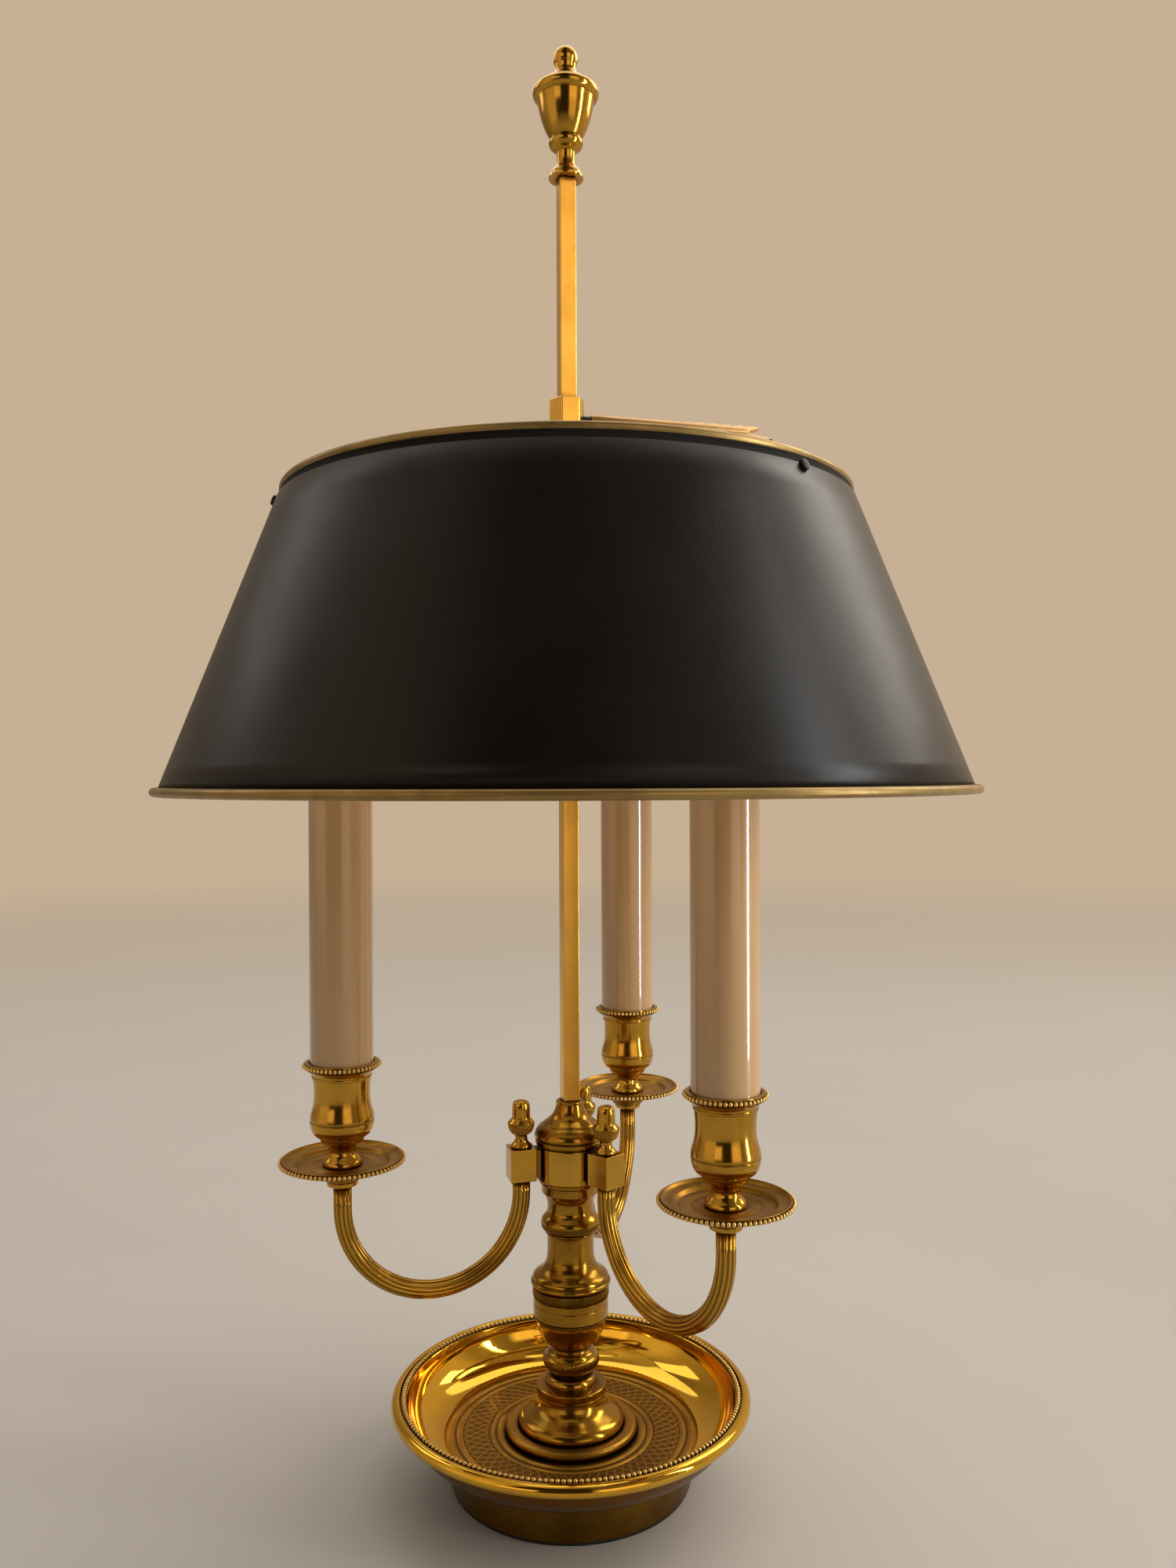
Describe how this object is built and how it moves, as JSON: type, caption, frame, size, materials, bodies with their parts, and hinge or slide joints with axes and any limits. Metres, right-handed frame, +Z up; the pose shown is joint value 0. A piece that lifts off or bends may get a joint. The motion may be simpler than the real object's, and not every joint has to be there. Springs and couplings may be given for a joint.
{
  "type": "bouillotte lamp",
  "caption": "Bouillotte table lamp: dished base, turned column, reeded swing arms with drip pans and candle sleeves, and a tole shade that slides on a square rod under an urn finial.",
  "frame": {"origin": "on the table, under the axis of the column, at the underside of the felt", "axes": "+Z up the column; -Y is the front; the left arm points to 195 degrees from +X"},
  "size_m": [0.3591, 0.3592, 0.6463],
  "materials": {
    "polished_brass": "polished, lightly aged",
    "column_brass": "polished, with brown in the hollows",
    "plain_brass": "plain turned",
    "black_tole": "satin, fine crackle",
    "gold_paint": "dull old gold",
    "steel": "satin",
    "black_steel": "blackened",
    "cast_iron": "raw",
    "felt": "felt",
    "candle_cream": "glossy, pinkish cream",
    "white_plastic": "matt",
    "black_plastic": "matt",
    "lead_sheath": "smooth sheath",
    "cap_metal": "plain",
    "bulb_glass": "clear, warm"
  },
  "bodies": {
    "lamp": {"felt_pad": "felt", "base_weight": "cast_iron", "base_washer": "steel", "base_nut": "steel", "foot_drum": "polished_brass", "inlet_bushing": "black_plastic", "terminal_block": "white_plastic", "lead_wires": "lead_sheath", "dish": "polished_brass", "tie_tube": "plain_brass", "foot_ring": "polished_brass", "bell_foot": "column_brass", "cushion_collar": "column_brass", "lower_knop": "column_brass", "bowl_cup": "column_brass", "barrel": "column_brass", "slim_shaft": "column_brass", "beaded_knop": "column_brass", "hub": "column_brass", "hub_cap": "column_brass", "square_rod": "polished_brass", "finial_collar": "polished_brass", "finial_urn": "polished_brass", "finial_lid": "polished_brass"},
    "light_left": {"arm_left": "polished_brass", "acorn_nut_left": "polished_brass", "drip_pan_left": "polished_brass", "candle_cup_left": "polished_brass", "candle_sleeve_left": "candle_cream", "lampholder_left": "white_plastic", "bulb_cap_left": "cap_metal", "bulb_glass_left": "bulb_glass"},
    "light_right": {"arm_right": "polished_brass", "acorn_nut_right": "polished_brass", "drip_pan_right": "polished_brass", "candle_cup_right": "polished_brass", "candle_sleeve_right": "candle_cream", "lampholder_right": "white_plastic", "bulb_cap_right": "cap_metal", "bulb_glass_right": "bulb_glass"},
    "light_back": {"arm_back": "polished_brass", "acorn_nut_back": "polished_brass", "drip_pan_back": "polished_brass", "candle_cup_back": "polished_brass", "candle_sleeve_back": "candle_cream", "lampholder_back": "white_plastic", "bulb_cap_back": "cap_metal", "bulb_glass_back": "bulb_glass"},
    "shade": {"shade_cone": "black_tole", "top_rim": "gold_paint", "low_rim": "gold_paint", "spider": "steel", "shade_screws": "black_steel", "shade_nuts": "steel", "clamp_sleeve": "polished_brass"},
    "clamp_screw": {"clamp_stud": "black_steel", "clamp_arrow": "polished_brass"}
  },
  "joints": [
    {"name": "shade_slide", "type": "slide", "parent": "lamp", "child": "shade", "axis": [0, 0, 1], "range_m": [-0.02, 0.095]},
    {"name": "clamp_turn", "type": "hinge", "parent": "shade", "child": "clamp_screw", "pos_m": [0, 0, 0.478], "axis": [0.9659, 0.2588, 0], "range_deg": [0, 540]},
    {"name": "light_left_swing", "type": "hinge", "parent": "lamp", "child": "light_left", "pos_m": [-0.02193, -0.00588, 0.1432], "axis": [0, 0, 1], "range_deg": [-30, 30]},
    {"name": "light_right_swing", "type": "hinge", "parent": "lamp", "child": "light_right", "pos_m": [0.01605, -0.01605, 0.1432], "axis": [0, 0, 1], "range_deg": [-20, 40]},
    {"name": "light_back_swing", "type": "hinge", "parent": "lamp", "child": "light_back", "pos_m": [0.00588, 0.02193, 0.1432], "axis": [0, 0, 1], "range_deg": [-27.5, 32.5]}
  ]
}
